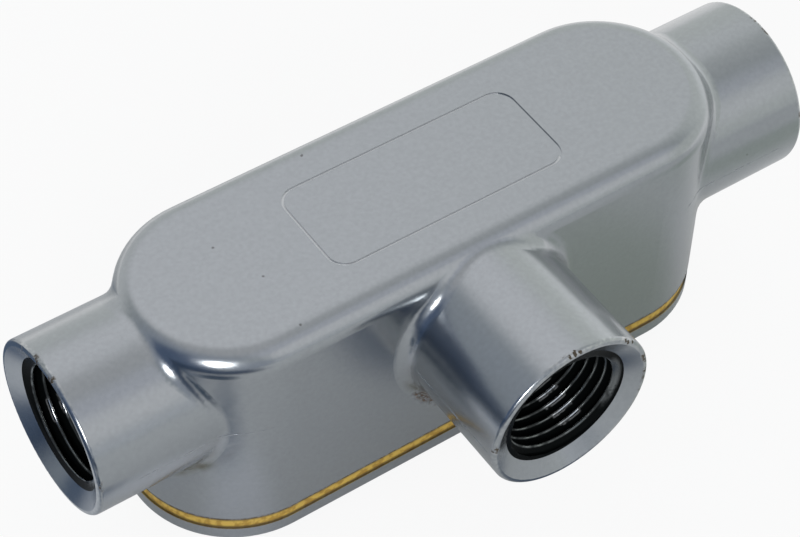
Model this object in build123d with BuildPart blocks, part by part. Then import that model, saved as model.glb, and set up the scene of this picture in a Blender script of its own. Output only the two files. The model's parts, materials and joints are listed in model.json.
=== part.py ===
from build123d import *
from math import atan2, degrees
import os

# Half inch T conduit body: a cast iron housing with three threaded hubs,
# closed on its open side by a gasket and a cast cover that two screws hold.
# Sizes are millimetres. The part lies on the raised face of its cover, its flattest side.
# The origin is the middle of that face, straight under the crossing of the hub axes.
# X runs along the through run, the side hub points to -Y and Z is up.

# Outside of the casting
body_length = 102.4
body_width = 34.6
end_hub_length = 13.2
side_hub_length = 21.4
hub_radius = 14.0
back_over_hubs = 1.3
rim_under_hubs = 7.8
wall_draft = 0.7
back_round = 3.8
hub_edge_round = 0.7
run_junction_round = 3.0
side_junction_round = 2.5

# Walls and the hollow
wall = 3.6
back_wall = 3.8
core_draft = 1.0
core_round = 3.0

# Hub bores, whose fine pipe thread is left plain here at its outer radius
thread_radius = 10.61
thread_depth = 14.0
mouth_land = 0.2
mouth_depth = 1.5
throat_radius = 7.8
throat_length = 2.6
throat_round = 1.0
passage_slope = 2.4

# Outline of the pattern's insert plate, a hairline groove in the back
plate_length = 41.6
plate_width = 17.4
plate_corner = 3.2
groove_width = 0.4
groove_depth = 0.2

# Gasket
gasket_thickness = 2.3
gasket_inset = 0.3
gasket_lap = 0.6
eyelet_radius = 5.2

# Cover
flange_thickness = 2.6
field_rise = 2.8
field_inset = 4.0
field_slope = 1.6
field_wall = 2.4
flange_edge_round = 0.6
field_edge_round = 0.9

# Cover screws and their bosses
screw_inset = 7.2
screw_radius = 2.05
thread_clearance = 0.06
screw_hole_clearance = 0.35
screw_length = 12.7
screw_tip_chamfer = 0.5
head_radius = 3.9
head_height = 2.4
head_crown = 1.0
head_clearance = 0.8
slot_width = 1.2
slot_depth = 1.2
slot_turns = {"left": 24.0, "right": -52.0}
boss_radius = 4.6
boss_height = 10.0
boss_round = 1.0

# Levels, from the resting face up
gasket_level = field_rise + flange_thickness
rim_level = gasket_level + gasket_thickness
axis_level = rim_level + rim_under_hubs + hub_radius
back_level = axis_level + hub_radius + back_over_hubs
body_height = back_level - rim_level

# Places and sizes that follow
run_reach = body_length / 2 + end_hub_length
side_reach = body_width / 2 + side_hub_length
screw_x = body_length / 2 - screw_inset
hollow_length = body_length - 2 * wall
hollow_width = body_width - 2 * wall
passage_radius = hub_radius - wall
mouth_radius = hub_radius - hub_edge_round - mouth_land
field_length = 2 * (screw_x - head_radius - head_clearance)
field_width = body_width - 2 * field_inset


def hub_bore(reach, inner_x):
    """The space inside a hub that points to +X, from its face at reach to inner_x.

    A countersunk mouth that leaves a narrow land inside the rounded edge, the thread bore,
    a stop shoulder and a rounded throat. A long hub opens again behind its throat, to a
    passage that leaves one wall all round.
    """
    shoulder_x = reach - thread_depth
    throat_end_x = shoulder_x - throat_length
    widened_x = throat_end_x - passage_slope
    with BuildPart() as bore:
        with BuildSketch(Plane.XZ):
            with BuildLine():
                Polyline(
                    (reach, axis_level),
                    (reach, axis_level + mouth_radius),
                    (reach - mouth_depth, axis_level + thread_radius),
                    (shoulder_x, axis_level + thread_radius),
                    (shoulder_x, axis_level + throat_radius + throat_round),
                )
                RadiusArc(
                    (shoulder_x, axis_level + throat_radius + throat_round),
                    (shoulder_x - throat_round, axis_level + throat_radius),
                    throat_round,
                )
                if widened_x > inner_x:
                    Polyline(
                        (shoulder_x - throat_round, axis_level + throat_radius),
                        (throat_end_x, axis_level + throat_radius),
                        (widened_x, axis_level + passage_radius),
                        (inner_x, axis_level + passage_radius),
                        (inner_x, axis_level),
                        (reach, axis_level),
                    )
                else:
                    Polyline(
                        (shoulder_x - throat_round, axis_level + throat_radius),
                        (inner_x, axis_level + throat_radius),
                        (inner_x, axis_level),
                        (reach, axis_level),
                    )
            make_face()
        revolve(axis=Axis((0, 0, axis_level), (1, 0, 0)))
    return bore.part


# The hollow, as the sand core that leaves it: tapered, rounded, notched round two bosses
with BuildPart() as hollow:
    with BuildSketch(Plane.XY.offset(rim_level)):
        SlotOverall(hollow_length, hollow_width)
    extrude(amount=body_height - back_wall, taper=core_draft)
    fillet(hollow.edges().group_by(Axis.Z)[-1], radius=core_round)
    with BuildSketch(Plane.XY.offset(rim_level)):
        with Locations((screw_x, 0), (-screw_x, 0)):
            Circle(boss_radius)
        with Locations((screw_x + screw_inset / 2, 0), (-screw_x - screw_inset / 2, 0)):
            Rectangle(screw_inset, 2 * boss_radius)
    extrude(amount=boss_height, mode=Mode.SUBTRACT)
    boss_tops = hollow.faces().filter_by_position(
        Axis.Z, rim_level + boss_height - 0.01, rim_level + boss_height + 0.01
    )
    wall_x = hollow_length / 2 - boss_round
    fillet(boss_tops.edges().filter_by(lambda edge: abs(edge.center().X) < wall_x), radius=boss_round)

# The housing: one casting, from the rim that the gasket lies on up to the closed back
with BuildPart() as housing:
    with BuildSketch(Plane.XY.offset(rim_level)):
        SlotOverall(body_length, body_width)
    extrude(amount=body_height, taper=wall_draft)
    fillet(housing.edges().group_by(Axis.Z)[-1], radius=back_round)

    # Through run: both end hubs are one straight cylinder
    with BuildSketch(Plane.YZ.offset(-run_reach)):
        with Locations((0, axis_level)):
            Circle(hub_radius)
    extrude(amount=2 * run_reach)
    fillet(housing.edges(Select.NEW), radius=run_junction_round)

    # Side hub
    with BuildSketch(Plane.XZ):
        with Locations((0, axis_level)):
            Circle(hub_radius)
    extrude(amount=side_reach)
    fillet(housing.edges(Select.NEW), radius=side_junction_round)

    hub_faces = (
        housing.faces().sort_by(Axis.X)[0],
        housing.faces().sort_by(Axis.X)[-1],
        housing.faces().sort_by(Axis.Y)[0],
    )
    for hub_face in hub_faces:
        fillet(hub_face.edges(), radius=hub_edge_round)

    # Hollow, bores and tapped holes
    add(hollow.part, mode=Mode.SUBTRACT)
    run_bore = hub_bore(run_reach, hollow_length / 2 - throat_radius)
    side_bore = hub_bore(side_reach, hollow_width / 2 - wall)
    add(run_bore, mode=Mode.SUBTRACT)
    add(run_bore.mirror(Plane.YZ), mode=Mode.SUBTRACT)
    add(side_bore.rotate(Axis.Z, -90), mode=Mode.SUBTRACT)
    with BuildSketch(Plane.XY.offset(rim_level)):
        with Locations((screw_x, 0), (-screw_x, 0)):
            Circle(screw_radius + thread_clearance)
    extrude(amount=boss_height, mode=Mode.SUBTRACT)

    # Outline of the insert plate
    with BuildSketch(Plane.XY.offset(back_level)):
        RectangleRounded(plate_length, plate_width, plate_corner)
        RectangleRounded(
            plate_length - 2 * groove_width,
            plate_width - 2 * groove_width,
            plate_corner - groove_width,
            mode=Mode.SUBTRACT,
        )
    extrude(amount=-groove_depth, mode=Mode.SUBTRACT)

# Gasket: a flat ring on the rim, with an eyelet round each screw
with BuildPart() as gasket:
    with BuildSketch(Plane.XY.offset(gasket_level)):
        SlotOverall(body_length - 2 * gasket_inset, body_width - 2 * gasket_inset)
        SlotOverall(hollow_length - 2 * gasket_lap, hollow_width - 2 * gasket_lap, mode=Mode.SUBTRACT)
        with Locations((screw_x, 0), (-screw_x, 0)):
            Circle(eyelet_radius)
            Circle(screw_radius + screw_hole_clearance, mode=Mode.SUBTRACT)
    extrude(amount=gasket_thickness)

# Cover: a flange as wide as the rim, with a raised field that is hollow on its inner side
with BuildPart() as cover:
    with BuildSketch(Plane.XY.offset(gasket_level)):
        SlotOverall(body_length, body_width)
    extrude(amount=-flange_thickness)
    fillet(cover.edges().group_by(Axis.Z)[0], radius=flange_edge_round)
    field_angle = degrees(atan2(field_slope, field_rise))
    with BuildSketch(Plane.XY.offset(field_rise)):
        SlotOverall(field_length, field_width)
    extrude(amount=-field_rise, taper=field_angle)
    fillet(cover.edges().group_by(Axis.Z)[0], radius=field_edge_round)
    pocket_depth = flange_thickness + field_rise - field_wall
    with BuildSketch(Plane.XY.offset(gasket_level)):
        SlotOverall(field_length - 2 * field_wall, field_width - 2 * field_wall)
    extrude(amount=-pocket_depth, taper=field_angle, mode=Mode.SUBTRACT)
    with BuildSketch(Plane.XY.offset(gasket_level)):
        with Locations((screw_x, 0), (-screw_x, 0)):
            Circle(screw_radius + screw_hole_clearance)
    extrude(amount=-flange_thickness, mode=Mode.SUBTRACT)


def cover_screw(x, slot_turn):
    """A slotted screw that points up at x, with its head under the cover's flange."""
    head_side = field_rise - head_height + head_crown
    tip_level = field_rise + screw_length
    with BuildPart() as screw:
        with BuildSketch(Plane.XZ):
            with BuildLine():
                Polyline(
                    (0, field_rise - head_height),
                    (0, tip_level),
                    (screw_radius - screw_tip_chamfer, tip_level),
                    (screw_radius, tip_level - screw_tip_chamfer),
                    (screw_radius, field_rise),
                    (head_radius, field_rise),
                    (head_radius, head_side),
                )
                crown_rise = head_crown
                crown_arc_radius = (head_radius**2 + crown_rise**2) / (2 * crown_rise)
                RadiusArc((head_radius, head_side), (0, field_rise - head_height), crown_arc_radius)
            make_face()
        revolve(axis=Axis.Z)
        with BuildSketch(Plane.XY.offset(field_rise - head_height)):
            Rectangle(3 * head_radius, slot_width, rotation=slot_turn)
        extrude(amount=slot_depth, mode=Mode.SUBTRACT)
    return screw.part.move(Location((x, 0, 0)))


cover_screw_left = cover_screw(-screw_x, slot_turns["left"])
cover_screw_right = cover_screw(screw_x, slot_turns["right"])

housing.part.label = "housing"
gasket.part.label = "gasket"
cover.part.label = "cover"
cover_screw_left.label = "cover_screw_left"
cover_screw_right.label = "cover_screw_right"

os.makedirs("parts", exist_ok=True)
export_step(housing.part, "parts/housing.step")
export_step(gasket.part, "parts/gasket.step")
export_step(cover.part, "parts/cover.step")
export_step(cover_screw_left, "parts/cover_screw_left.step")
export_step(cover_screw_right, "parts/cover_screw_right.step")
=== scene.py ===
# %% [markdown]
# # A conduit body in silver grey lacquer
#
# The object is a half inch T conduit body: an iron casting with three threaded hubs, lying on its
# cover. The solids come from the CAD frame at their real size. This script gives them their looks:
# the lacquer, the cut threads, the rubber of the gasket, the zinc of the screws, and the light of
# the small studio that they are seen in. It never moves or resizes a solid.

# %% Load the frame
import json
from math import cos, radians, sin

import bmesh
import bpy
import numpy as np
from mathutils import Matrix, Vector


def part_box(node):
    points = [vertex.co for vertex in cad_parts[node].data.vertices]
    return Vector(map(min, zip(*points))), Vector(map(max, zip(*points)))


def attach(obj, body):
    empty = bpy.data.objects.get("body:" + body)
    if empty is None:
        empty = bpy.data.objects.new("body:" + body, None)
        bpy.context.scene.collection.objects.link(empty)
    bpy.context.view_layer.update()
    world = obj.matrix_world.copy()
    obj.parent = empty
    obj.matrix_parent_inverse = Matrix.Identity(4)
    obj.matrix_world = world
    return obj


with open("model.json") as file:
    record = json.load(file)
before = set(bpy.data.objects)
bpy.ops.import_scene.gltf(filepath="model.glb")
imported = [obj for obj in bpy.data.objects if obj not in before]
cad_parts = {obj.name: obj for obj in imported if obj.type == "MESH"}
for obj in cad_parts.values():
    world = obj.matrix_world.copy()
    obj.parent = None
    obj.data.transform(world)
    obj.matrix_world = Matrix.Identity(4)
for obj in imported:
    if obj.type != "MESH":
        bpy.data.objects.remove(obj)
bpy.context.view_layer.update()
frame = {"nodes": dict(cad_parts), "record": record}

MM = 0.001
mounts = {mount["name"]: mount for mount in frame["record"]["mounts"]}

# %% [markdown]
# ## Sizes that the looks need
#
# Every place on the casting follows from a few levels: where the hub axes run, how far each hub
# reaches, how thick the hubs are. They could be typed in again, but a number written twice is a
# number that can disagree, so the levels are read from the frame's mounts and boxes. Only the hubs'
# outer radius is typed, because no box or mount gives it.

# %% Levels and reaches read from the frame
housing_low, housing_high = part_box("housing")
gasket_low, gasket_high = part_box("gasket")
axis_level = mounts["side_hub"]["pos_m"][2]
hub_radius = 14.0 * MM
run_reach = housing_high.x
side_reach = -housing_low.y
body_half_width = housing_high.y
body_half_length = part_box("cover")[1].x
back_level = housing_high.z
rim_level = housing_low.z
print("hub axis at", round(axis_level / MM, 2), "mm, back at", round(back_level / MM, 2), "mm")

# %% [markdown]
# ## The camera
#
# A photograph fixes its camera: the vanishing lines of the body and the ellipses of the three hub
# mouths agree with only one place and one focal length. Here that place is written as a turntable
# would give it: a point to look at, an azimuth, an elevation, a distance, and a small roll of the
# hand that held the camera.

# %% The photograph's viewing angle
VIEW_TARGET = Vector((-5.23 * MM, -2.45 * MM, axis_level))
VIEW_AZIMUTH = radians(-36.68)
VIEW_ELEVATION = radians(49.34)
VIEW_DISTANCE = 393.6 * MM
VIEW_ROLL = radians(2.75)
LENS = 117.1


def direction(azimuth, elevation):
    """The unit vector towards an azimuth and elevation: azimuth 0 is -Y and grows towards +X."""
    return Vector((sin(azimuth) * cos(elevation), -cos(azimuth) * cos(elevation), sin(elevation)))


camera_data = bpy.data.cameras.new("photo_camera")
camera_data.lens = LENS
camera_data.clip_start = 0.01
camera = bpy.data.objects.new("photo_camera", camera_data)
bpy.context.collection.objects.link(camera)
towards_camera = direction(VIEW_AZIMUTH, VIEW_ELEVATION)
turn = towards_camera.to_track_quat("Z", "Y").to_matrix().to_4x4() @ Matrix.Rotation(VIEW_ROLL, 4, "Z")
camera.matrix_world = Matrix.Translation(VIEW_TARGET + VIEW_DISTANCE * towards_camera) @ turn
bpy.context.scene.camera = camera
print("camera at", [round(v / MM, 1) for v in camera.location], "mm")

# %% [markdown]
# ## A shorthand for shader nodes
#
# A material is a graph, and wiring a graph by hand takes many lines. One helper adds a node, sets
# its options, and fills its inputs. The others name the few sums that the finishes are made of, so
# that a mask reads like its formula.


# %% Node helpers
def feed(tree, socket, value):
    """Gives an input socket its value: another socket is linked, anything else is stored."""
    if isinstance(value, bpy.types.NodeSocket):
        tree.links.new(value, socket)
    else:
        socket.default_value = value


def node(tree, kind, inputs=None, **options):
    """Adds a shader node. Inputs maps a socket's name or index to a socket to link or a value."""
    made = tree.nodes.new(kind)
    for key, value in options.items():
        setattr(made, key, value)
    for key, value in (inputs or {}).items():
        feed(tree, made.inputs[key], value)
    return made


def maths(tree, operation, *values):
    """The output of a Math node, whose values are sockets or numbers."""
    return node(tree, "ShaderNodeMath", dict(enumerate(values)), operation=operation).outputs[0]


def vector_maths(tree, operation, *values):
    """The Vector Math node of an operation, whose values are sockets or vectors."""
    return node(tree, "ShaderNodeVectorMath", dict(enumerate(values)), operation=operation)


def ramp(tree, value, low, high, to_low=0.0, to_high=1.0, smooth=True):
    """A value that goes from to_low at low to to_high at high, eased at both ends where smooth."""
    kind = "SMOOTHSTEP" if smooth else "LINEAR"
    inputs = {"Value": value, 1: low, 2: high, 3: to_low, 4: to_high}
    return node(tree, "ShaderNodeMapRange", inputs, interpolation_type=kind).outputs[0]


def mix_colours(tree, factor, first, second, blend="MIX"):
    """The colour between two colours. Factor, first and second are sockets or values."""
    inputs = {0: factor, 6: first, 7: second}
    return node(tree, "ShaderNodeMix", inputs, data_type="RGBA", blend_type=blend).outputs[2]


def length_of(tree, first, second):
    """The length of the right-angled pair first and second: the root of their squares' sum."""
    squares = [maths(tree, "MULTIPLY", value, value) for value in (first, second)]
    return maths(tree, "SQRT", maths(tree, "ADD", *squares))


def noise(tree, place, scale, detail=3.0, roughness=0.55):
    """A noise value of about 0.5 around a place, with scale cells to the metre."""
    inputs = {"Vector": place, "Scale": scale, "Detail": detail, "Roughness": roughness}
    return node(tree, "ShaderNodeTexNoise", inputs).outputs[0]


def bump(tree, height, distance):
    """The normal that a height makes over a distance in metres."""
    return node(tree, "ShaderNodeBump", {"Height": height, "Distance": distance}).outputs["Normal"]


print("node helpers ready")

# %% [markdown]
# ## The studio's light
#
# Glossy lacquer over iron shows its surroundings more than its own colour, so the room matters as
# much as the paint. The photograph tells what the room was: a broad pale wall behind and to the
# right, a lighter ceiling, a window low in front on the right, and a dark bluish room low on the
# left. Each is a round glow in the world shader, eased at its edge. A set of walls and windows
# could be built instead, but glows are quicker to place by what they do to the reflections.

# %% The room as glows in the world shader
DIM_ROOM = (0.44, 0.47, 0.48)
DARK_CORNER = (0.10, 0.145, 0.24)
ROOM_GLOWS = [
    # azimuth, elevation, inner and outer angle in degrees, colour; a later one covers the others
    (-75, 38, 20, 60, (0.37, 0.41, 0.48)),
    (0, 90, 8, 40, (0.59, 0.60, 0.62)),
    (-78, 10, 16, 44, DARK_CORNER),
    (-14, 8, 8, 28, (0.40, 0.44, 0.51)),
    (24, 47, 10, 27, (0.64, 0.66, 0.72)),
    (-172, 5, 20, 40, (0.72, 0.74, 0.75)),
    (24, -2, 8, 24, (0.64, 0.67, 0.72)),
    (50, 10, 16, 34, (0.68, 0.71, 0.69)),
    (116, 8, 26, 62, (0.77, 0.80, 0.78)),
    (170, 56, 8, 36, (0.86, 0.87, 0.90)),
    (113, -3, 12, 32, (0.98, 1.00, 1.00)),
    (21, 28, 8, 22, (0.82, 0.83, 0.85)),
]

world = bpy.data.worlds.new("studio_room")
bpy.context.scene.world = world
world.use_nodes = True
room = world.node_tree
room.nodes.clear()
looking = node(room, "ShaderNodeTexCoord").outputs["Generated"]
looking = vector_maths(room, "NORMALIZE", looking).outputs["Vector"]
room_colour = (*DIM_ROOM, 1.0)
for azimuth, elevation, inner, outer, colour in ROOM_GLOWS:
    centre = direction(radians(azimuth), radians(elevation))
    nearness = vector_maths(room, "DOT_PRODUCT", looking, centre).outputs["Value"]
    amount = ramp(room, nearness, cos(radians(outer)), cos(radians(inner)))
    room_colour = mix_colours(room, amount, room_colour, (*colour, 1.0))
room_light = node(room, "ShaderNodeBackground", {"Color": room_colour})
white_sky = node(room, "ShaderNodeBackground", {"Color": (1, 1, 1, 1)})
seen = node(room, "ShaderNodeLightPath").outputs["Is Camera Ray"]
world_mix = node(room, "ShaderNodeMixShader",
                 {0: seen, 1: room_light.outputs[0], 2: white_sky.outputs[0]})
node(room, "ShaderNodeOutputWorld", {"Surface": world_mix.outputs[0]})
print("the room has", len(ROOM_GLOWS), "glows")

# %% [markdown]
# ## The softbox
#
# The small white glints on the casting are one softbox, seen in the rounded edges. Where a glint
# lies gives the lamp's direction: the surface there faces halfway between the lamp and the camera.

# %% One softbox, low on the left of the camera
SOFTBOX_AZIMUTH = radians(-44.6)
SOFTBOX_ELEVATION = radians(26.0)
SOFTBOX_DISTANCE = 0.8
SOFTBOX_SIZE = 0.27
SOFTBOX_POWER = 1.8

softbox_data = bpy.data.lights.new("softbox", "AREA")
softbox_data.shape = "DISK"
softbox_data.size = SOFTBOX_SIZE
softbox_data.energy = SOFTBOX_POWER
softbox = bpy.data.objects.new("softbox", softbox_data)
bpy.context.collection.objects.link(softbox)
towards_softbox = direction(SOFTBOX_AZIMUTH, SOFTBOX_ELEVATION)
softbox.location = Vector((0, 0, axis_level)) + SOFTBOX_DISTANCE * towards_softbox
softbox.rotation_euler = towards_softbox.to_track_quat("Z", "Y").to_euler()
print("softbox at", [round(v, 2) for v in softbox.location], "m")

# %% [markdown]
# ## The floor
#
# The casting lies on a white sheet. The camera sees it as plain white with a faint shadow. The
# lacquer sees more: pale paper close by, the white backdrop behind, and on the left, past the
# sheet's edge, a dark blue-grey floor, painted darker still further out as shade, which gives the low
# flanks their blue-grey. Each place of the floor is seen by one part of the casting only, so a few
# round patches of painted shade and painted light tell what the photograph shows there.

# %% White sheet on a dark floor, with painted shade and light
FLOOR_HALF = 1.5
FLOOR_GAP = 0.02 * MM
PAPER = (0.80, 0.80, 0.79, 1.0)
DARK_FLOOR = (0.14, 0.19, 0.28, 1.0)
DARK_FLOOR_SHADE = (0.05, 0.08, 0.14, 1.0)
# An azimuth and the cosines between which a region fades in, then its distances in metres.
DARK_FLOOR_SIDE, DARK_FLOOR_WIDE, DARK_FLOOR_NARROW = radians(-105), cos(radians(44)), cos(radians(27))
DARK_FLOOR_FROM, DARK_FLOOR_TO = 0.050, 0.077
SHADE_SIDE, SHADE_WIDE, SHADE_NARROW = radians(-62), cos(radians(56)), cos(radians(36))
SHADE_FROM, SHADE_TO = 0.115, 0.185
# The sheet's patches are painted shade and painted light, where the casting reflects the floor.
SHEET_SHADE_AND_LIGHT = [
    # x, y, inner and outer radius in mm, colour
    (38, -34, 6, 26, (0.60, 0.64, 0.57, 1.0)),
    (92, -56, 12, 44, (0.62, 0.66, 0.60, 1.0)),
    (4, -45, 6, 16, (0.17, 0.21, 0.28, 1.0)),
    (-57, -33, 3, 11, (0.20, 0.25, 0.33, 1.0)),
    (-86, -58, 14, 29, (0.05, 0.09, 0.15, 1.0)),
    (-47, -24, 4, 16, (0.98, 0.98, 1.00, 1.0)),
]
PAINTED_LIGHT_PATCHES = [
    # the same, painted light laid over the dark floor and its painted shade
    (-86, 1, 12, 31, (0.90, 0.91, 0.93, 1.0)),
    (-174, 70, 22, 46, (0.70, 0.73, 0.73, 1.0)),
]
BACKDROP_SIDE, BACKDROP_FROM, BACKDROP_TO = radians(132), 0.020, 0.150
BACKDROP_GLOW = 0.95
WHITE_SHARE = 0.91

floor_mesh = bpy.data.meshes.new("floor")
floor_corners = np.array([(-1, -1, 0), (1, -1, 0), (1, 1, 0), (-1, 1, 0)]) * FLOOR_HALF
floor_corners[:, 2] = -FLOOR_GAP
floor_mesh.from_pydata(floor_corners.tolist(), [], [(0, 1, 2, 3)])
floor = bpy.data.objects.new("floor", floor_mesh)
bpy.context.collection.objects.link(floor)
print("floor of", 2 * FLOOR_HALF, "m with", len(SHEET_SHADE_AND_LIGHT) + len(PAINTED_LIGHT_PATCHES), "patches")

# %% [markdown]
# Light Path tells the kinds of ray apart, so the picture's background and the reflections can each
# be right. From below the floor lets light through, so the cover and its screws can be looked at.


# %% The colours of the floor
def patch(tree, place, x, y, inner, outer):
    """1 nearer than inner to a point of the floor and 0 past outer, all in mm."""
    distance = vector_maths(tree, "DISTANCE", place, (x * MM, y * MM, 0)).outputs["Value"]
    return ramp(tree, distance, inner * MM, outer * MM, 1.0, 0.0)


def towards(tree, vector, azimuth):
    """How far a vector reaches towards an azimuth: for a unit vector, the cosine between them."""
    return vector_maths(tree, "DOT_PRODUCT", vector, direction(azimuth, 0)).outputs["Value"]


sheet = bpy.data.materials.new("white_sheet")
sheet.use_nodes = True
tree = sheet.node_tree
tree.nodes.clear()
place = node(tree, "ShaderNodeTexCoord").outputs["Object"]
rays = node(tree, "ShaderNodeLightPath")
heading = vector_maths(tree, "NORMALIZE", place).outputs["Vector"]
on_dark_floor = maths(tree, "MULTIPLY", ramp(tree, towards(tree, place, DARK_FLOOR_SIDE), DARK_FLOOR_FROM, DARK_FLOOR_TO),
                 ramp(tree, towards(tree, heading, DARK_FLOOR_SIDE), DARK_FLOOR_WIDE, DARK_FLOOR_NARROW))
distance = vector_maths(tree, "LENGTH", place).outputs["Value"]
in_shade = maths(tree, "MULTIPLY", ramp(tree, distance, SHADE_FROM, SHADE_TO),
                 ramp(tree, towards(tree, heading, SHADE_SIDE), SHADE_WIDE, SHADE_NARROW))
backdrop = ramp(tree, towards(tree, place, BACKDROP_SIDE), BACKDROP_FROM, BACKDROP_TO)
floor_colour = PAPER
# Painted shade and painted light on the sheet, then the dark floor with its painted shade, then more
# painted light.
for x, y, inner, outer, patch_colour in SHEET_SHADE_AND_LIGHT:
    floor_colour = mix_colours(tree, patch(tree, place, x, y, inner, outer), floor_colour, patch_colour)
floor_colour = mix_colours(tree, on_dark_floor, floor_colour, DARK_FLOOR)
floor_colour = mix_colours(tree, in_shade, floor_colour, DARK_FLOOR_SHADE)
for x, y, inner, outer, patch_colour in PAINTED_LIGHT_PATCHES:
    floor_colour = mix_colours(tree, patch(tree, place, x, y, inner, outer), floor_colour, patch_colour)
lit_floor = node(tree, "ShaderNodeBsdfDiffuse", {"Color": floor_colour})
lit_sheet = node(tree, "ShaderNodeBsdfDiffuse", {"Color": PAPER})
glow = node(tree, "ShaderNodeEmission", {"Color": (1, 1, 1, 1), "Strength": 1.0})
far_glow = node(tree, "ShaderNodeEmission", {"Color": (1, 1, 1, 1), "Strength": BACKDROP_GLOW})
in_gloss = maths(tree, "MULTIPLY", rays.outputs["Is Glossy Ray"], backdrop)
mirrored = node(tree, "ShaderNodeMixShader",
                {0: in_gloss, 1: lit_floor.outputs[0], 2: far_glow.outputs[0]})
white = node(tree, "ShaderNodeMixShader", {0: WHITE_SHARE, 1: lit_sheet.outputs[0], 2: glow.outputs[0]})
shader = node(tree, "ShaderNodeMixShader",
              {0: rays.outputs["Is Camera Ray"], 1: mirrored.outputs[0], 2: white.outputs[0]})
clear = node(tree, "ShaderNodeBsdfTransparent")
from_below = node(tree, "ShaderNodeNewGeometry").outputs["Backfacing"]
shader = node(tree, "ShaderNodeMixShader",
              {0: from_below, 1: shader.outputs[0], 2: clear.outputs[0]})
node(tree, "ShaderNodeOutputMaterial", {"Surface": shader.outputs[0]})
floor_mesh.materials.append(sheet)
print("dark table from", round(DARK_FLOOR_TO / MM), "mm on the left")

# %% [markdown]
# ## Grey lacquer
#
# The housing and the cover are dipped in a silver grey lacquer full of fine metal flakes. It is
# glossy and a little wavy, because it pooled on a sand casting, with pinholes where bubbles broke.
# A plain grey diffuse paint would look like plastic: this finish darkens on the flanks that face
# the dark room, as metal does, so the shader is metallic with a thin clear coat.


# %% Shared effects as node groups
def new_group(name, inputs, outputs):
    """A shader node group with the named input and output sockets; returns it with its two ends."""
    group = bpy.data.node_groups.new(name, "ShaderNodeTree")
    for label, kind, default in inputs:
        socket = group.interface.new_socket(label, in_out="INPUT", socket_type=kind)
        if default is not None:
            socket.default_value = default
    for label, kind in outputs:
        group.interface.new_socket(label, in_out="OUTPUT", socket_type=kind)
    start = group.nodes.new("NodeGroupInput")
    end = group.nodes.new("NodeGroupOutput")
    return group, start, end


def placed(tree, group, **inputs):
    """Places a node group, with its inputs given by name with underscores for spaces."""
    made = tree.nodes.new("ShaderNodeGroup")
    made.node_tree = group
    for key, value in inputs.items():
        feed(tree, made.inputs[key.replace("_", " ")], value)
    return made


VECTOR, FLOAT = "NodeSocketVector", "NodeSocketFloat"

casting_skin, start, end = new_group(
    "casting skin",
    [("Vector", VECTOR, None), ("Sag", FLOAT, 1.0), ("Wave", FLOAT, 1.0), ("Peel", FLOAT, 1.0)],
    [("Height", FLOAT)],
)
tree = casting_skin
height = 0.0
for label, scale, detail in (("Wave", 190.0, 1.0), ("Peel", 1100.0, 2.0), ("Sag", 80.0, 0.0)):
    swell = noise(tree, start.outputs["Vector"], scale, detail, roughness=0.5)
    height = maths(tree, "ADD", height, maths(tree, "MULTIPLY", swell, start.outputs[label]))
tree.links.new(height, end.inputs["Height"])

speck_field, start, end = new_group(
    "speck field",
    [("Vector", VECTOR, None), ("Scale", FLOAT, 300.0), ("Size", FLOAT, 0.12), ("Share", FLOAT, 0.1)],
    [("Mask", FLOAT)],
)
tree = speck_field
cells = node(tree, "ShaderNodeTexVoronoi", {name: start.outputs[name] for name in ("Vector", "Scale")})
chance = node(tree, "ShaderNodeSeparateColor", {0: cells.outputs["Color"]})
picked = maths(tree, "LESS_THAN", chance.outputs[0], start.outputs["Share"])
own_size = maths(tree, "MULTIPLY", start.outputs["Size"], chance.outputs[1])
inside = maths(tree, "LESS_THAN", cells.outputs["Distance"], own_size)
tree.links.new(maths(tree, "MULTIPLY", picked, inside), end.inputs["Mask"])

print("node groups:", [group.name for group in bpy.data.node_groups])

# %% [markdown]
# The hub bores are cut after the lacquer, so their threads are bare oily iron. The CAD housing is
# one mesh, and its bores are told apart by place: inside a cylinder round a hub's axis, and far
# enough from the middle. Vertex groups would need the mesh changed, and a mask leaves it alone.

# %% A mask for the bores
thread_radius = mounts["side_hub"]["dims"]["r_mm"] * MM
TOLERANCE = 0.02 * MM
RUN_BORE_FROM = 46 * MM

bore_mask, start, end = new_group("inside a bore", [("Vector", VECTOR, None)], [("Mask", FLOAT)])
tree = bore_mask
parts = node(tree, "ShaderNodeSeparateXYZ", {0: start.outputs["Vector"]})
along, across, level = parts.outputs
rise = maths(tree, "SUBTRACT", level, axis_level)
near_run = maths(tree, "LESS_THAN", length_of(tree, across, rise), thread_radius + TOLERANCE)
near_side = maths(tree, "LESS_THAN", length_of(tree, along, rise), thread_radius + TOLERANCE)
past_body = maths(tree, "GREATER_THAN", maths(tree, "ABSOLUTE", along), RUN_BORE_FROM)
past_wall = maths(tree, "LESS_THAN", across, -body_half_width)
in_run = maths(tree, "MULTIPLY", near_run, past_body)
in_side = maths(tree, "MULTIPLY", near_side, past_wall)
tree.links.new(maths(tree, "MAXIMUM", in_run, in_side), end.inputs["Mask"])
print("bore mask inside a radius of", thread_radius / MM, "mm")

# %% [markdown]
# ## Where dirt, wear and painted shade gather
#
# Shop dirt settles in the inner corners where a hub meets a wall, and the low corners also get a
# painted shade; a painted shadow runs along the rim above the gasket; and paint chips first at the
# sharp edges of the hub mouths. Each is a distance to a line of the casting, so the masks are sums
# on the object's own coordinates, broken up by noise: the wall's outline is a stadium, and a hub is
# a cylinder round its axis.

# %% Masks for corners, mouth edges and the rim
end_centre = body_half_length - body_half_width
WALL_LEAN = 0.2 * MM
LOW_FROM, LOW_TO = -2 * MM, -9 * MM
# Distances at which a mask is full and at which it ends.
CORNER_FULL, CORNER_END = 0.8 * MM, 2.3 * MM
EDGE_BACK, EDGE_FULL, EDGE_END = 0.25 * MM, 0.45 * MM, 0.95 * MM
RIM_FULL, RIM_END = 0.1 * MM, 0.5 * MM

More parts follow.
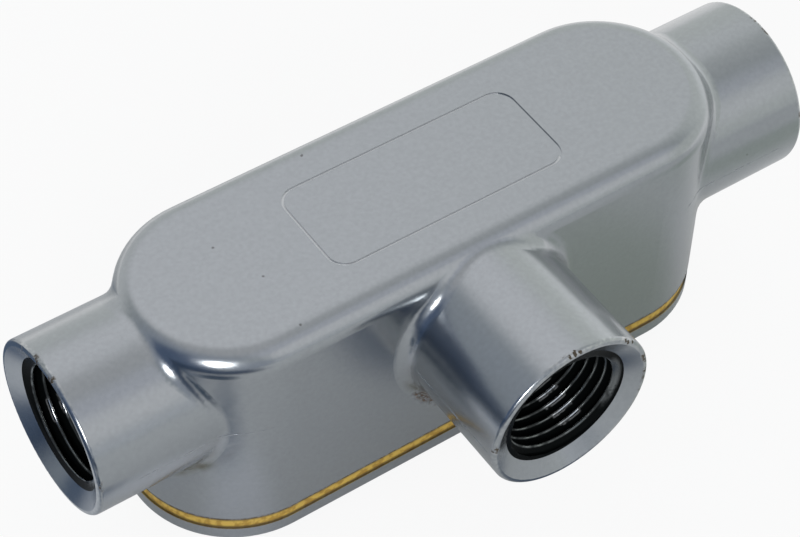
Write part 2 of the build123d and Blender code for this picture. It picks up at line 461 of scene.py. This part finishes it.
wear_and_shade_places, start, end = new_group(
    "wear and shade places",
    [("Vector", VECTOR, None)],
    [("Corner", FLOAT), ("Below", FLOAT), ("Mouth Edge", FLOAT), ("Rim", FLOAT)],
)
tree = wear_and_shade_places
parts = node(tree, "ShaderNodeSeparateXYZ", {0: start.outputs["Vector"]})
along, across, level = parts.outputs
rise = maths(tree, "SUBTRACT", level, axis_level)
far_along = maths(tree, "ABSOLUTE", along)

past_centre = maths(tree, "MAXIMUM", maths(tree, "SUBTRACT", far_along, end_centre), 0.0)
from_wall = maths(tree, "SUBTRACT", length_of(tree, past_centre, across), body_half_width - WALL_LEAN)
run_distance = maths(tree, "SUBTRACT", length_of(tree, across, rise), hub_radius)
side_distance = maths(tree, "SUBTRACT", length_of(tree, along, rise), hub_radius)
# Behind the run axis there is no side hub: a whole metre more takes it out of the minimum.
behind = maths(tree, "GREATER_THAN", across, 0.0)
from_hub = maths(tree, "MINIMUM", run_distance, maths(tree, "ADD", side_distance, behind))
corner = ramp(tree, length_of(tree, from_hub, from_wall), CORNER_FULL, CORNER_END, 1.0, 0.0)
below = ramp(tree, rise, LOW_TO, LOW_FROM, 1.0, 0.0)

to_run_face = maths(tree, "SUBTRACT", run_reach, far_along)
to_face = maths(tree, "MINIMUM", to_run_face, maths(tree, "ADD", side_reach, across))
edge_distance = length_of(tree, maths(tree, "ADD", from_hub, EDGE_BACK), to_face)
mouth_edge = ramp(tree, edge_distance, EDGE_FULL, EDGE_END, 1.0, 0.0)
near_rim = ramp(tree, level, rim_level + RIM_FULL, rim_level + RIM_END, 1.0, 0.0)
rim = maths(tree, "MULTIPLY", near_rim, maths(tree, "GREATER_THAN", level, rim_level - TOLERANCE))
for label, value in (("Corner", corner), ("Below", below), ("Mouth Edge", mouth_edge), ("Rim", rim)):
    tree.links.new(value, end.inputs[label])
print("end of the stadium centred", round(end_centre / MM, 1), "mm from the middle")

# %% [markdown]
# An insert in the mould left a rectangle on the back, outlined by a fine groove. On three sides the
# groove is given painted light that lifts its shade, and on the right it is left dark.

# %% The groove and its painted light
PLATE_LENGTH, PLATE_WIDTH = 41.6 * MM, 17.4 * MM
GROOVE_DEPTH, GROOVE_SPREAD = 0.35 * MM, 0.1 * MM
OPEN_SIDE = 1.2 * MM

groove_places, start, end = new_group(
    "plate groove", [("Vector", VECTOR, None)], [("Mask", FLOAT), ("Right Side", FLOAT)]
)
tree = groove_places
parts = node(tree, "ShaderNodeSeparateXYZ", {0: start.outputs["Vector"]})
along, across, level = parts.outputs
groove = maths(tree, "LESS_THAN", level, back_level - TOLERANCE)
for inside in (
    maths(tree, "GREATER_THAN", level, back_level - GROOVE_DEPTH),
    maths(tree, "LESS_THAN", maths(tree, "ABSOLUTE", along), PLATE_LENGTH / 2 + GROOVE_SPREAD),
    maths(tree, "LESS_THAN", maths(tree, "ABSOLUTE", across), PLATE_WIDTH / 2 + GROOVE_SPREAD),
):
    groove = maths(tree, "MULTIPLY", groove, inside)
tree.links.new(groove, end.inputs["Mask"])
right_side = maths(tree, "GREATER_THAN", along, PLATE_LENGTH / 2 - OPEN_SIDE)
tree.links.new(right_side, end.inputs["Right Side"])
print("groove round", round(PLATE_LENGTH / MM, 1), "by", round(PLATE_WIDTH / MM, 1), "mm")

# %% [markdown]
# A few nicks, rust chips and one brown stain are plain enough in the photograph to have their own
# places. All the other specks are left to noise, because nobody would miss one that sat elsewhere.

# %% Listed nicks, rust chips and dirt
NICKS = [
    # place in mm from the crossing of the hub axes, radius
    ((-12.8, 13.2, 15.3), 0.24),
    ((-30.3, -3.5, 15.3), 0.19),
    ((-30.7, -13.9, 15.2), 0.20),
    ((-33.5, 5.0, 15.3), 0.20),
]
RUST_CHIPS = [
    ((-1.5, -38.6, 13.7), 0.40),
    ((-0.7, -38.5, 13.8), 0.50),
    ((0.1, -38.6, 13.8), 0.35),
    ((8.6, -38.65, 10.7), 0.30),
    ((9.3, -38.65, 10.1), 0.32),
    ((10.0, -38.65, 9.4), 0.28),
]
DIRT_CRUMBS = [
    ((-11.8, -17.4, -9.8), 1.20),
    ((-11.0, -17.5, -11.0), 1.50),
    ((-10.0, -17.6, -12.2), 1.70),
    ((-8.8, -17.7, -13.4), 1.70),
    ((-7.5, -17.8, -14.6), 1.60),
    ((-6.0, -17.9, -15.6), 1.40),
]


def spots(tree, place, places, ragged, solid=0.85):
    """A mask of round spots at the listed places and radii, with an edge made ragged by noise.

    Up to the share solid of its radius a spot is full, and from there it fades to nothing.
    """
    mask = 0.0
    for (x, y, up), radius in places:
        centre = (x * MM, y * MM, axis_level + up * MM)
        distance = vector_maths(tree, "DISTANCE", place, centre).outputs["Value"]
        distance = maths(tree, "ADD", distance, ragged)
        spot = ramp(tree, distance, solid * radius * MM, radius * MM, 1.0, 0.0)
        mask = maths(tree, "MAXIMUM", mask, spot)
    return mask


print(len(NICKS), "nicks,", len(RUST_CHIPS), "rust chips,", len(DIRT_CRUMBS), "crumbs of dirt")

# %% [markdown]
# Every finish starts alike, with an empty material read by object coordinates, and ends alike, on
# the solids that carry it. The colours are linear, so they look darker as numbers than they are.

# %% Colours of the casting, and two helpers for all finishes
LACQUER = (0.42, 0.44, 0.455, 1.0)
BARE_IRON = (0.006, 0.007, 0.007, 1.0)
# The crevice dirt colour also paints the shadow along the rim, the olive colour paints shade in the low
# corners, and the pale filling colour paints light in the groove.
DIRT_AND_RIM_SHADOW = (0.075, 0.052, 0.018, 1.0)
PAINTED_CREASE_SHADE = (0.16, 0.165, 0.115, 1.0)
RUST = (0.060, 0.042, 0.020, 1.0)
CRUMB = (0.130, 0.062, 0.016, 1.0)
DARK_CRUMB = (0.028, 0.026, 0.022, 1.0)
PINHOLE = (0.19, 0.19, 0.195, 1.0)
PAINTED_GROOVE_LIGHT = (0.66, 0.67, 0.68, 1.0)
WORN_EDGE = (0.60, 0.61, 0.60, 1.0)
CLEAN_ROUGHNESS, DULL_ROUGHNESS = 0.215, 0.62
SKIN_RELIEF = 0.016 * MM
PINHOLE_DEPTH, CHIP_DEPTH = 0.9, 2.0


def new_material(name):
    """An empty node material, with its tree, its Principled BSDF and its object coordinates."""
    material = bpy.data.materials.new(name)
    material.use_nodes = True
    tree = material.node_tree
    tree.nodes.clear()
    principled = node(tree, "ShaderNodeBsdfPrincipled")
    node(tree, "ShaderNodeOutputMaterial", {"Surface": principled.outputs[0]})
    place = node(tree, "ShaderNodeTexCoord").outputs["Object"]
    return material, tree, principled, place


def dress(names, material):
    """Gives the named solids a material in place of the frame's own."""
    for name in names:
        materials = frame["nodes"][name].data.materials
        materials.clear()
        materials.append(material)
    print(material.name, "on", *names)


print("lacquer of roughness", CLEAN_ROUGHNESS, "where clean and", DULL_ROUGHNESS, "where dull")

# %% [markdown]
# From the ground up the colour is flake lacquer, a painted shade in the low corners under the hubs,
# caked dirt on that, the brown stain, a painted shadow along the rim, the worn and chipped mouths,
# the pinholes, and painted light in the groove. Each layer is one mask and one mix. The bores come
# last: bare iron.

# %% The lacquer's layers
lacquer, tree, principled, place = new_material("grey_lacquer")
skin = placed(tree, casting_skin, Vector=place, Sag=3.0, Wave=1.0, Peel=0.26)
specks = placed(tree, speck_field, Vector=place, Scale=170.0, Size=0.062, Share=0.045)
bore = placed(tree, bore_mask, Vector=place)
wear_and_shade = placed(tree, wear_and_shade_places, Vector=place)
coarse = noise(tree, place, 260.0, detail=1.0)
fine = noise(tree, place, 1400.0)
tone = ramp(tree, fine, 0.3, 0.7, 0.96, 1.04, smooth=False)
colour = mix_colours(tree, 1.0, LACQUER, tone, blend="MULTIPLY")
low_corner = maths(tree, "MULTIPLY", wear_and_shade.outputs["Corner"], wear_and_shade.outputs["Below"])
# Painted shade: an olive darkening in the low corners under the hubs, where the crease is in shade.
crease_shade = maths(tree, "MULTIPLY", low_corner, ramp(tree, coarse, 0.30, 0.62, 0.15, 0.75))
colour = mix_colours(tree, crease_shade, colour, PAINTED_CREASE_SHADE)
caked = maths(tree, "MULTIPLY", ramp(tree, wear_and_shade.outputs["Corner"], 0.70, 0.98), wear_and_shade.outputs["Below"])
caked = maths(tree, "MULTIPLY", caked, ramp(tree, coarse, 0.50, 0.72, 0.0, 0.7))
colour = mix_colours(tree, caked, colour, DIRT_AND_RIM_SHADOW)
ragged = ramp(tree, fine, 0.3, 0.7, -0.30 * MM, 0.30 * MM, smooth=False)
grit = noise(tree, place, 2200.0, detail=2.0)
crumbs = spots(tree, place, DIRT_CRUMBS, ragged, solid=0.35)
crumbs = maths(tree, "MULTIPLY", crumbs, ramp(tree, grit, 0.36, 0.54, 0.25, 1.0))
crumb_colour = mix_colours(tree, ramp(tree, grit, 0.44, 0.60), DARK_CRUMB, CRUMB)
caked = maths(tree, "MAXIMUM", caked, maths(tree, "MULTIPLY", crumbs, 0.85))
colour = mix_colours(tree, crumbs, colour, crumb_colour)
# Painted shadow: a dark brown line on the casting along the rim above the gasket.
rim_shadow = maths(tree, "MULTIPLY", wear_and_shade.outputs["Rim"], ramp(tree, fine, 0.30, 0.62, 0.45, 1.0))
colour = mix_colours(tree, rim_shadow, colour, DIRT_AND_RIM_SHADOW)
worn_edge = maths(tree, "MULTIPLY", wear_and_shade.outputs["Mouth Edge"], ramp(tree, fine, 0.42, 0.60, 0.0, 0.5))
colour = mix_colours(tree, worn_edge, colour, WORN_EDGE)
chipped = maths(tree, "MULTIPLY", wear_and_shade.outputs["Mouth Edge"], ramp(tree, coarse, 0.62, 0.66))
chipped = maths(tree, "MULTIPLY", chipped, ramp(tree, fine, 0.42, 0.56))
chipped = maths(tree, "MAXIMUM", chipped, spots(tree, place, RUST_CHIPS, ragged))
colour = mix_colours(tree, chipped, colour, RUST)
nicks = spots(tree, place, NICKS, maths(tree, "MULTIPLY", ragged, 0.4))
pinholes = maths(tree, "MAXIMUM", specks.outputs["Mask"], nicks)
colour = mix_colours(tree, pinholes, colour, PINHOLE)
# Painted light: the groove is lightened on three sides to lift its shade, and the right side stays dark.
groove = placed(tree, groove_places, Vector=place)
groove_painted_light = maths(tree, "MULTIPLY", groove.outputs["Mask"],
               maths(tree, "SUBTRACT", 1.0, groove.outputs["Right Side"]))
colour = mix_colours(tree, groove_painted_light, colour, PAINTED_GROOVE_LIGHT)
colour = mix_colours(tree, bore.outputs["Mask"], colour, BARE_IRON)
tree.links.new(colour, principled.inputs["Base Color"])
print("the lacquer's tree has", len(tree.nodes), "nodes")

# %% [markdown]
# Dirt, rust and the rim's painted shadow are dull and don't shine like metal, the groove's painted
# light is partly dull, and the oily bores don't shine either. The bump is what makes it a dipped sand
# casting: slow sags, finer waves and a trace of orange peel, with the pinholes and the chips cut into
# them.

# %% The lacquer's shine and relief
dull = maths(tree, "MAXIMUM", maths(tree, "MAXIMUM", caked, chipped), rim_shadow)
dullness = maths(tree, "MAXIMUM", dull, maths(tree, "MULTIPLY", groove_painted_light, 0.6))
roughness = ramp(tree, dullness, 0.0, 1.0, CLEAN_ROUGHNESS, DULL_ROUGHNESS, smooth=False)
metal = maths(tree, "SUBTRACT", 1.0, maths(tree, "MAXIMUM", dull, bore.outputs["Mask"]))
tree.links.new(metal, principled.inputs["Metallic"])
tree.links.new(roughness, principled.inputs["Roughness"])
principled.inputs["Coat Weight"].default_value = 0.25
principled.inputs["Coat Roughness"].default_value = 0.14
pits = maths(tree, "SUBTRACT", skin.outputs["Height"], maths(tree, "MULTIPLY", pinholes, PINHOLE_DEPTH))
chip_step = maths(tree, "SUBTRACT", pits, maths(tree, "MULTIPLY", chipped, CHIP_DEPTH))
tree.links.new(bump(tree, chip_step, SKIN_RELIEF), principled.inputs["Normal"])
dress(("housing", "cover"), lacquer)

# %% [markdown]
# ## Gasket rubber
#
# A thin band of mustard sheet rubber shows between the casting and its cover. Cut rubber is matt
# and slightly granular. Along its upper edge it is given a painted shadow, the shade under the
# casting's rim, and it is darker towards its lower edge too. A picture of real rubber could be
# wrapped round it, but on a band this thin two noises and two dark edges say the same.

# %% Gasket
RUBBER = (0.78, 0.51, 0.09, 1.0)
RUBBER_SHADE = (0.52, 0.30, 0.04, 1.0)
RUBBER_DARK_EDGES = (0.10, 0.055, 0.015, 1.0)
# Shares of the thickness, down from the top edge and up from the bottom edge.
TOP_SHADOW_STARTS, TOP_SHADOW_FULL = 0.42, 0.12
LOW_DARK_FULL, LOW_DARK_ENDS = 0.05, 0.28
rubber, tree, principled, place = new_material("mustard_rubber")
grain = noise(tree, place, 900.0, detail=4.0)
rubber_colour = mix_colours(tree, ramp(tree, grain, 0.42, 0.62), RUBBER, RUBBER_SHADE)
level = node(tree, "ShaderNodeSeparateXYZ", {0: place}).outputs[2]
thickness = gasket_high.z - gasket_low.z
# Painted shadow along the upper edge, broken by noise; the lower edge is darker towards the edge.
near_top = ramp(tree, level, gasket_high.z - TOP_SHADOW_STARTS * thickness,
                gasket_high.z - TOP_SHADOW_FULL * thickness)
near_top = maths(tree, "MULTIPLY", near_top, ramp(tree, noise(tree, place, 300.0), 0.3, 0.6, 0.55, 1.0))
near_low = ramp(tree, level, gasket_low.z + LOW_DARK_FULL * thickness,
                gasket_low.z + LOW_DARK_ENDS * thickness, 0.8, 0.0)
rubber_colour = mix_colours(tree, maths(tree, "MAXIMUM", near_top, near_low), rubber_colour, RUBBER_DARK_EDGES)
tree.links.new(rubber_colour, principled.inputs["Base Color"])
principled.inputs["Roughness"].default_value = 0.5
tree.links.new(bump(tree, grain, 0.03 * MM), principled.inputs["Normal"])
dress(("gasket",), rubber)
print("gasket of", round(thickness / MM, 2), "mm rubber")

# %% [markdown]
# ## Cover screws
#
# The two screws are turned steel with a dull zinc plate. Plating grows in tiny crystals, so its
# grey is cloudy: two greys and a faint bump share one fine noise.

# %% Zinc plate
ZINC_DARK, ZINC_LIGHT = (0.50, 0.50, 0.49, 1.0), (0.66, 0.66, 0.65, 1.0)
zinc, tree, principled, place = new_material("zinc_plate")
cloud = noise(tree, place, 1500.0, roughness=0.5)
zinc_colour = mix_colours(tree, ramp(tree, cloud, 0.35, 0.65), ZINC_DARK, ZINC_LIGHT)
tree.links.new(zinc_colour, principled.inputs["Base Color"])
principled.inputs["Metallic"].default_value = 1.0
principled.inputs["Roughness"].default_value = 0.38
tree.links.new(bump(tree, cloud, 0.01 * MM), principled.inputs["Normal"])
dress(("cover_screw_left", "cover_screw_right"), zinc)

# %% [markdown]
# ## The pipe threads
#
# Each hub is tapped with a half inch taper pipe thread. The CAD bore is a plain cylinder at the
# thread's outer radius, and the thread itself is made here, because what shows in the photograph
# is the light on its crests. A bump map can't give a crest that hides the groove behind it, so
# the thread is a real surface: a grid whose rows follow the helix, so that each crest is one
# unbroken line of vertices.


# %% Thread surface as a grid
PITCH = 25.4 / 14 * MM
THREAD_HEIGHT = 0.8 * PITCH
TAPER = 1 / 32
MOUTH_DEPTH, SHOULDER_DEPTH = 1.5 * MM, 14.0 * MM
LEAD_IN = 4.0
FLAT, SLOPE = 0.07, 0.86
CREST_ROUNDING = 0.15
ROWS_PER_PITCH, COLUMNS = 28, 96
BORE_GAP = 0.005 * MM


def thread_grid(start_angle):
    """Depth, angle, radius and crest height of every vertex of a hub thread, rows by columns.

    A row keeps its place in the profile, so its depth grows by one pitch over one turn. The
    profile is a triangle wave cut flat at root and crest, with the crest rounded by the square
    root of a sum of squares. The root's radius shrinks by a 32nd of the depth. From the mouth
    inwards the radius falls by no more than LEAD_IN times the depth, as a tap leaves it, which
    cuts off the first crest. The crest height is then taken back from the radius.
    """
    last_row = int(SHOULDER_DEPTH / PITCH + 2) * ROWS_PER_PITCH
    phase = np.arange(-ROWS_PER_PITCH, last_row)[:, None] / ROWS_PER_PITCH
    angle = np.linspace(0, 2 * np.pi, COLUMNS + 1)[None, :]
    depth = np.clip(PITCH * (phase + angle / (2 * np.pi)), MOUTH_DEPTH, SHOULDER_DEPTH - TOLERANCE)
    profile_place = depth / PITCH - angle / (2 * np.pi)
    wave = 1 - np.abs(2 * (profile_place % 1) - 1)
    crest = np.clip((wave - FLAT) / SLOPE, 0, 1)
    crest = (1 - np.sqrt((1 - crest) ** 2 + CREST_ROUNDING**2)) / (1 - CREST_ROUNDING)
    radius = thread_radius - TAPER * depth - THREAD_HEIGHT * crest
    radius = np.maximum(radius, thread_radius - LEAD_IN * (depth - MOUTH_DEPTH))
    crest = np.clip((thread_radius - TAPER * depth - radius) / THREAD_HEIGHT, 0, 1)
    outer = np.full((1, COLUMNS + 1), thread_radius - BORE_GAP)
    root = np.zeros((1, COLUMNS + 1))
    depth = np.vstack([depth[:1], depth, depth[-1:], depth[:1]])
    radius = np.vstack([outer, radius, outer, outer])
    angle = np.broadcast_to(angle + start_angle, radius.shape)
    crest = np.vstack([root, crest, root, root])
    return depth, angle, radius, crest


print("thread of", round(PITCH / MM, 3), "mm pitch,", round(THREAD_HEIGHT / MM, 2), "mm high")

# %% [markdown]
# Any grid of points becomes a mesh in the same way: each cell of the grid is one face, so the faces
# come from four shifted copies of the index grid and no loop is needed. Points that the profile
# pressed together are merged. The piece then rides on the root, because it is cut into the casting
# or cast on it.

# %% A grid made into a piece
MERGE_WITHIN = 0.001 * MM


def grid_object(name, points, material, sharp, values=None):
    """A mesh object from a grid of points, rows by columns by 3, with doubles merged.

    An edge stays sharp where its faces meet at more than the angle sharp, in degrees. Values are
    named arrays, one number for each point, which the material reads by name.
    """
    rows, columns, _ = points.shape
    index = np.arange(rows * columns).reshape(rows, columns)
    corners = (index[:-1, :-1], index[1:, :-1], index[1:, 1:], index[:-1, 1:])
    faces = np.stack(corners, axis=-1).reshape(-1, 4)
    mesh = bpy.data.meshes.new(name)
    mesh.from_pydata(points.reshape(-1, 3).tolist(), [], faces.tolist())
    for label, array in (values or {}).items():
        attribute = mesh.attributes.new(label, "FLOAT", "POINT")
        attribute.data.foreach_set("value", array.astype(np.float32).ravel())
    shape = bmesh.new()
    shape.from_mesh(mesh)
    bmesh.ops.remove_doubles(shape, verts=shape.verts, dist=MERGE_WITHIN)
    bmesh.ops.dissolve_degenerate(shape, edges=shape.edges, dist=MERGE_WITHIN / 2)
    bmesh.ops.recalc_face_normals(shape, faces=shape.faces)
    shape.to_mesh(mesh)
    shape.free()
    mesh.polygons.foreach_set("use_smooth", np.ones(len(mesh.polygons), bool))
    mesh.set_sharp_from_angle(angle=radians(sharp))
    mesh.materials.append(material)
    made = bpy.data.objects.new(name, mesh)
    bpy.context.collection.objects.link(made)
    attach(made, "root")
    return made


print("grids merge points closer than", round(MERGE_WITHIN / MM, 4), "mm")

# %% [markdown]
# Cutting oil has turned the grooves black, so a thread shows only by its crests. They catch a thin
# line of light; near the mouth a grey band on one side paints overspray and the light on the first
# crest, and in one place of each hub a white painted glint stands for the softbox's reflection on
# the crests. A position alone doesn't tell a crest from a groove, so each vertex of the thread
# carries three values: its crest height, its overspray with painted light, and its painted glint.


# %% Oily cut iron
def vertex_value(tree, label):
    """A named value that the thread's vertices carry."""
    return node(tree, "ShaderNodeAttribute", attribute_name=label).outputs["Fac"]


GROOVE = (0.004, 0.005, 0.005, 1.0)
CREST = (0.13, 0.145, 0.14, 1.0)
# White of the painted glint on the crests.
PAINTED_GLINT_COLOUR = (0.97, 0.98, 0.97, 1.0)
# Grey of overspray and of painted light on the first crest's lit side.
OVERSPRAY_AND_LIGHT = (0.20, 0.21, 0.21, 1.0)
cut_iron, tree, principled, place = new_material("oily_cut_iron")
crest_height = vertex_value(tree, "crest")
smear = noise(tree, place, 420.0)
patchy = ramp(tree, smear, 0.40, 0.62, 0.25, 1.0)
crest_wear_and_glint = maths(tree, "MULTIPLY", ramp(tree, crest_height, 0.80, 0.96), patchy)
sprayed_and_lit = maths(tree, "MULTIPLY", vertex_value(tree, "overspray_and_light"), ramp(tree, smear, 0.30, 0.50))
streaks = ramp(tree, noise(tree, place, 700.0, detail=1.0), 0.35, 0.48, 0.45, 1.0)
# Painted glint: white crests in one place of each hub, broken by streaks of noise.
painted_glint = maths(tree, "MULTIPLY", streaks, vertex_value(tree, "painted_glint"))
glint_band = maths(tree, "MULTIPLY", ramp(tree, crest_height, 0.55, 0.85), ramp(tree, painted_glint, 0.35, 0.75))
crest_wear_and_glint = maths(tree, "MAXIMUM", crest_wear_and_glint, glint_band)
iron_colour = mix_colours(tree, crest_wear_and_glint, GROOVE, mix_colours(tree, painted_glint, CREST, PAINTED_GLINT_COLOUR))
iron_colour = mix_colours(tree, sprayed_and_lit, iron_colour, OVERSPRAY_AND_LIGHT)
tree.links.new(iron_colour, principled.inputs["Base Color"])
tree.links.new(maths(tree, "MAXIMUM", crest_wear_and_glint, sprayed_and_lit), principled.inputs["Metallic"])
principled.inputs["Roughness"].default_value = 0.17
principled.inputs["Specular IOR Level"].default_value = 0.02
tree.links.new(bump(tree, smear, 0.03 * MM), principled.inputs["Normal"])
print("the oily iron's tree has", len(tree.nodes), "nodes")

# %% [markdown]
# Every hub gets the same thread, turned to where its first crest starts in the photograph. The
# right hub's mouth faces away, so its start is free.


# %% A thread in each hub
def soft_step(value, low, high):
    """0 below low, 1 above high and a straight line between them."""
    return np.clip((value - low) / (high - low), 0, 1)


HUBS = {
    # hub: outward axis, reach, where the thread starts and where the painted glint lies on its crests
    "left": (Vector((-1, 0, 0)), run_reach, radians(245), radians(140)),
    "right": (Vector((1, 0, 0)), run_reach, radians(130), radians(57)),
    "side": (Vector((0, -1, 0)), side_reach, radians(80), radians(66)),
}
# Cosines between which the overspray with its painted light, and the painted glint, fade in round
# the bore, then the depths past the mouth.
LIT_SIDE_ANGLE, LIT_SIDE_WIDE, LIT_SIDE_NARROW = radians(3), 0.80, 0.95
GLINT_WIDE, GLINT_NARROW = 0.974, 0.988
SPRAY_DEPTH, GLINT_FROM, GLINT_TO = 0.9 * MM, 1.2 * MM, 2.2 * MM
SPRAYED_CREST = (0.2, 0.2 + 1 / 3)
GLINT_ELSEWHERE = 0.12
upward = np.array((0.0, 0.0, 1.0))
for name, (outward, reach, start_angle, glint_angle) in HUBS.items():
    depth, angle, radius, crest = thread_grid(start_angle)
    outward = np.array(outward)
    sideways = np.cross(upward, outward)
    centre = np.array((0.0, 0.0, axis_level)) + reach * outward
    points = (
        centre
        - depth[..., None] * outward
        + (radius * np.cos(angle))[..., None] * sideways
        - (radius * np.sin(angle))[..., None] * upward
    )
    from_mouth = depth - MOUTH_DEPTH
    # Overspray and painted light: grey on the first crest near the mouth, only on the side the light
    # falls on.
    lit_side = soft_step(np.cos(angle - LIT_SIDE_ANGLE), LIT_SIDE_WIDE, LIT_SIDE_NARROW)
    spray_and_lit_side = 1 - soft_step(from_mouth / SPRAY_DEPTH, 0.5, 1.5)
    spray_and_lit_side = spray_and_lit_side * soft_step(crest, *SPRAYED_CREST) * lit_side
    # Painted glint: a narrow angle round the bore, past the first crest.
    near_glint = soft_step(np.cos(angle - glint_angle), GLINT_WIDE, GLINT_NARROW)
    behind_first_crest = soft_step(from_mouth, GLINT_FROM, GLINT_TO)
    painted_glint = GLINT_ELSEWHERE + (1 - GLINT_ELSEWHERE) * near_glint * behind_first_crest
    thread = grid_object(f"hub_thread_{name}", points, cut_iron,
                         sharp=75, values={"crest": crest, "overspray_and_light": spray_and_lit_side, "painted_glint": painted_glint})
    print(thread.name, len(thread.data.polygons), "faces")

# %% [markdown]
# ## The parting line
#
# The mould's two halves met just under the hub axes, and a little iron ran between them. What the
# grinder left is a broken line of low beads round the casting. A bead is a thin closed tube that
# lies half sunk in the surface: its height swells and fades along the way, and at both ends it
# narrows to a point. A bump could draw the line, but only a bead catches light from any side.

# %% A bead as a flattened tube
BEAD_WIDTH, BEAD_HEIGHT = 0.15 * MM, 0.10 * MM
THINNEST = 0.12
ROUND = 10
WAVES = ((0.9, 1.0, 1), (2.3, 0.8, 2), (5.1, 0.5, 0))


def bead(name, path, outward, seed):
    """A tapered tube along a path of points, flattened along its outward directions.

    The tube's half width is the bead's width times an envelope, the root of 4 t (1 - t). Its half
    height is the bead's height times the same envelope times a sum of sines, held between THINNEST
    and 1, which breaks the line. Each of WAVES gives a sine's radians per mm, its strength and how
    much the seed shifts it.
    """
    along = np.linspace(0, 1, len(path))[:, None]
    length = np.linalg.norm(np.diff(path, axis=0), axis=1).sum()
    reached = along * length / MM
    broken = sum(strength * np.sin(rate * reached + shift * seed) for rate, strength, shift in WAVES)
    envelope = np.sqrt(np.clip(4 * along * (1 - along), 0, 1))
    swell = envelope * (THINNEST + (1 - THINNEST) * np.clip(0.35 + 0.55 * broken, 0, 1))
    round_angle = np.linspace(0, 2 * np.pi, ROUND + 1)[None, :]
    wide = (BEAD_WIDTH * envelope * np.cos(round_angle))[..., None] * upward
    high = (BEAD_HEIGHT * swell * np.sin(round_angle))[..., None] * outward[:, None, :]
    return grid_object(name, path[:, None, :] + wide + high, lacquer, sharp=180)


print("beads of", round(2 * BEAD_WIDTH / MM, 2), "by", round(2 * BEAD_HEIGHT / MM, 2), "mm")

# %% [markdown]
# A bead follows the outline of walls and hubs at the parting level. The outline is worked out from
# their sizes, which needs no search on the mesh: a wall leans inwards a little on its way up, and
# the line meets a hub just below its widest, so both are a trace narrower there.

# %% Paths at the parting level
PARTING_LEVEL = axis_level - 0.95 * MM
STEPS = 260
BLEND_POWER = 60
WALL_LEAN_AT_LINE = 0.27 * MM
FROM_MOUTH, FROM_WALL = 1.6 * MM, 1.2 * MM
wall_at_line = body_half_width - WALL_LEAN_AT_LINE
hub_at_line = np.sqrt(hub_radius**2 - (axis_level - PARTING_LEVEL) ** 2)


def outline_path(x_from, x_to, side):
    """The casting's outline at the parting level between two values of x, on the side +1 or -1.

    Its distance from the run axis is the larger of the hub's and the stadium's, blended where
    they cross by taking the root of the sum of high powers, as the fillet does.
    """
    x = np.linspace(x_from, x_to, STEPS)
    past = np.clip(np.abs(x) - end_centre, 0, wall_at_line)
    stadium = np.sqrt(wall_at_line**2 - past**2)
    distance = (hub_at_line**BLEND_POWER + stadium**BLEND_POWER) ** (1 / BLEND_POWER)
    path = np.stack([x, side * distance, np.full(STEPS, PARTING_LEVEL)], axis=1)
    along = np.gradient(path, axis=0)
    outward = np.stack([-along[:, 1], along[:, 0], 0 * x], axis=1)
    outward *= np.sign(outward[:, 1:2] * side)
    return path, outward / np.linalg.norm(outward, axis=1, keepdims=True)


def side_hub_path(side):
    """A straight line along the side hub's left or right flank at the parting level."""
    x = np.full(STEPS, side * hub_at_line)
    y = np.linspace(-side_reach + FROM_MOUTH, -body_half_width - FROM_WALL, STEPS)
    path = np.stack([x, y, np.full(STEPS, PARTING_LEVEL)], axis=1)
    return path, np.tile((float(side), 0.0, 0.0), (STEPS, 1))


print("at the line the wall is", round(wall_at_line / MM, 2), "mm from the axis,",
      "the hub", round(float(hub_at_line) / MM, 2))

# %% [markdown]
# The grinder worked by hand, so no two stretches of the line are alike, and a seed shifts each one's
# gaps. The photograph shows where the line is left in front and beside the side hub. The back can't
# be seen, and is taken to be alike.

# %% The six beads
BEADS = {
    # piece: its path with the outward directions, and the seed of its gaps
    "parting_line_front_left": (outline_path(-58 * MM, -37 * MM, -1), 0.0),
    "parting_line_front_right": (outline_path(39 * MM, 60 * MM, -1), 1.7),
    "parting_line_back_left": (outline_path(-60 * MM, -12 * MM, 1), 3.4),
    "parting_line_back_right": (outline_path(-6 * MM, 61 * MM, 1), 5.1),
    "parting_line_side_left": (side_hub_path(-1), 0.8),
    "parting_line_side_right": (side_hub_path(1), 2.9),
}
for name, ((path, outward), seed) in BEADS.items():
    line = bead(name, path, outward, seed)
    print(line.name, len(line.data.polygons), "faces")

# %% [markdown]
# ## Settings
#
# The Standard view transform shows a colour as it is written.

# %% Finish
bpy.context.scene.view_settings.view_transform = "Standard"
